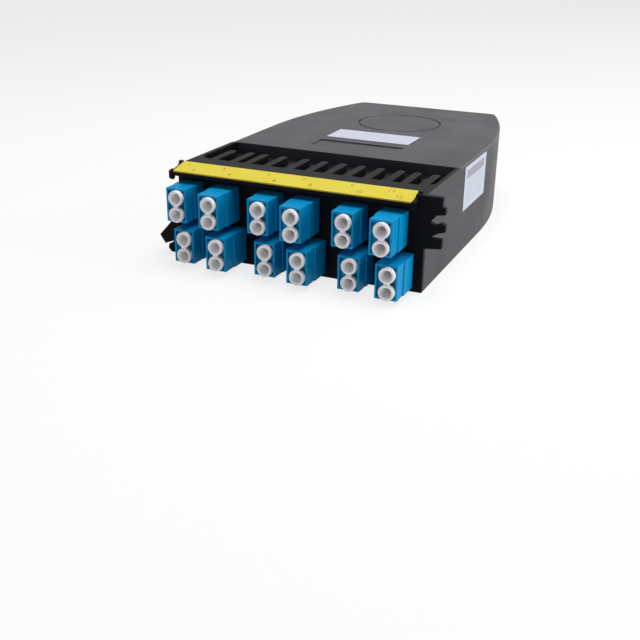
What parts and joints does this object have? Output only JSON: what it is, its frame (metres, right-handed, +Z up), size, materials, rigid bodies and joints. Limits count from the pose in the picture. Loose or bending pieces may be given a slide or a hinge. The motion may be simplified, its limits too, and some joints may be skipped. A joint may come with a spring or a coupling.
{
  "type": "fibre_cassette",
  "caption": "Flat black fibre cassette with curved sides: duplex adapters under a yellow port strip at the front, multi-fibre inlets at the rear, and push-in dust caps.",
  "frame": {"origin": "middle of the housing's underside: on the mid-plane of the straight side walls, halfway between their front edge and the rear wall", "axes": "+X to the right seen from the front, +Y to the rear (the adapters face -Y), +Z up"},
  "size_m": [0.114, 0.1831, 0.0364],
  "materials": {
    "housing_black": "satin",
    "strip_yellow": "matte",
    "label_white": "matte",
    "adapter_aqua": "satin",
    "cap_white": "satin",
    "plug_aqua": "satin",
    "rear_adapter_black": "satin",
    "rear_cap_black": "satin",
    "fibre_aqua": "satin"
  },
  "bodies": {
    "housing": {"base_shell": "housing_black", "top_cover": "housing_black", "front_frame": "housing_black", "port_strip": "strip_yellow", "lid_label": "label_white", "side_label": "label_white", "lc_adapter_01": "adapter_aqua", "inner_plug_01": "plug_aqua", "lc_adapter_02": "adapter_aqua", "inner_plug_02": "plug_aqua", "lc_adapter_03": "adapter_aqua", "inner_plug_03": "plug_aqua", "lc_adapter_04": "adapter_aqua", "inner_plug_04": "plug_aqua", "lc_adapter_05": "adapter_aqua", "inner_plug_05": "plug_aqua", "lc_adapter_06": "adapter_aqua", "inner_plug_06": "plug_aqua", "lc_adapter_07": "adapter_aqua", "inner_plug_07": "plug_aqua", "lc_adapter_08": "adapter_aqua", "inner_plug_08": "plug_aqua", "lc_adapter_09": "adapter_aqua", "inner_plug_09": "plug_aqua", "lc_adapter_10": "adapter_aqua", "inner_plug_10": "plug_aqua", "lc_adapter_11": "adapter_aqua", "inner_plug_11": "plug_aqua", "lc_adapter_12": "adapter_aqua", "inner_plug_12": "plug_aqua", "rear_adapter_left": "rear_adapter_black", "rear_plug_left": "plug_aqua", "rear_adapter_right": "rear_adapter_black", "rear_plug_right": "plug_aqua", "fibre_harness": "fibre_aqua"},
    "cap_01": {"dust_cap_01": "cap_white"},
    "cap_02": {"dust_cap_02": "cap_white"},
    "cap_03": {"dust_cap_03": "cap_white"},
    "cap_04": {"dust_cap_04": "cap_white"},
    "cap_05": {"dust_cap_05": "cap_white"},
    "cap_06": {"dust_cap_06": "cap_white"},
    "cap_07": {"dust_cap_07": "cap_white"},
    "cap_08": {"dust_cap_08": "cap_white"},
    "cap_09": {"dust_cap_09": "cap_white"},
    "cap_10": {"dust_cap_10": "cap_white"},
    "cap_11": {"dust_cap_11": "cap_white"},
    "cap_12": {"dust_cap_12": "cap_white"},
    "rear_cap_body_left": {"rear_cap_left": "rear_cap_black"},
    "rear_cap_body_right": {"rear_cap_right": "rear_cap_black"}
  },
  "joints": [
    {"name": "dust_cap_01_pull", "type": "slide", "parent": "housing", "child": "cap_01", "axis": [0, -1, 0], "range_m": [0, 0.009]},
    {"name": "dust_cap_02_pull", "type": "slide", "parent": "housing", "child": "cap_02", "axis": [0, -1, 0], "range_m": [0, 0.009]},
    {"name": "dust_cap_03_pull", "type": "slide", "parent": "housing", "child": "cap_03", "axis": [0, -1, 0], "range_m": [0, 0.009]},
    {"name": "dust_cap_04_pull", "type": "slide", "parent": "housing", "child": "cap_04", "axis": [0, -1, 0], "range_m": [0, 0.009]},
    {"name": "dust_cap_05_pull", "type": "slide", "parent": "housing", "child": "cap_05", "axis": [0, -1, 0], "range_m": [0, 0.009]},
    {"name": "dust_cap_06_pull", "type": "slide", "parent": "housing", "child": "cap_06", "axis": [0, -1, 0], "range_m": [0, 0.009]},
    {"name": "dust_cap_07_pull", "type": "slide", "parent": "housing", "child": "cap_07", "axis": [0, -1, 0], "range_m": [0, 0.009]},
    {"name": "dust_cap_08_pull", "type": "slide", "parent": "housing", "child": "cap_08", "axis": [0, -1, 0], "range_m": [0, 0.009]},
    {"name": "dust_cap_09_pull", "type": "slide", "parent": "housing", "child": "cap_09", "axis": [0, -1, 0], "range_m": [0, 0.009]},
    {"name": "dust_cap_10_pull", "type": "slide", "parent": "housing", "child": "cap_10", "axis": [0, -1, 0], "range_m": [0, 0.009]},
    {"name": "dust_cap_11_pull", "type": "slide", "parent": "housing", "child": "cap_11", "axis": [0, -1, 0], "range_m": [0, 0.009]},
    {"name": "dust_cap_12_pull", "type": "slide", "parent": "housing", "child": "cap_12", "axis": [0, -1, 0], "range_m": [0, 0.009]},
    {"name": "rear_cap_left_pull", "type": "slide", "parent": "housing", "child": "rear_cap_body_left", "axis": [0, 1, 0], "range_m": [0, 0.009]},
    {"name": "rear_cap_right_pull", "type": "slide", "parent": "housing", "child": "rear_cap_body_right", "axis": [0, 1, 0], "range_m": [0, 0.009]}
  ]
}
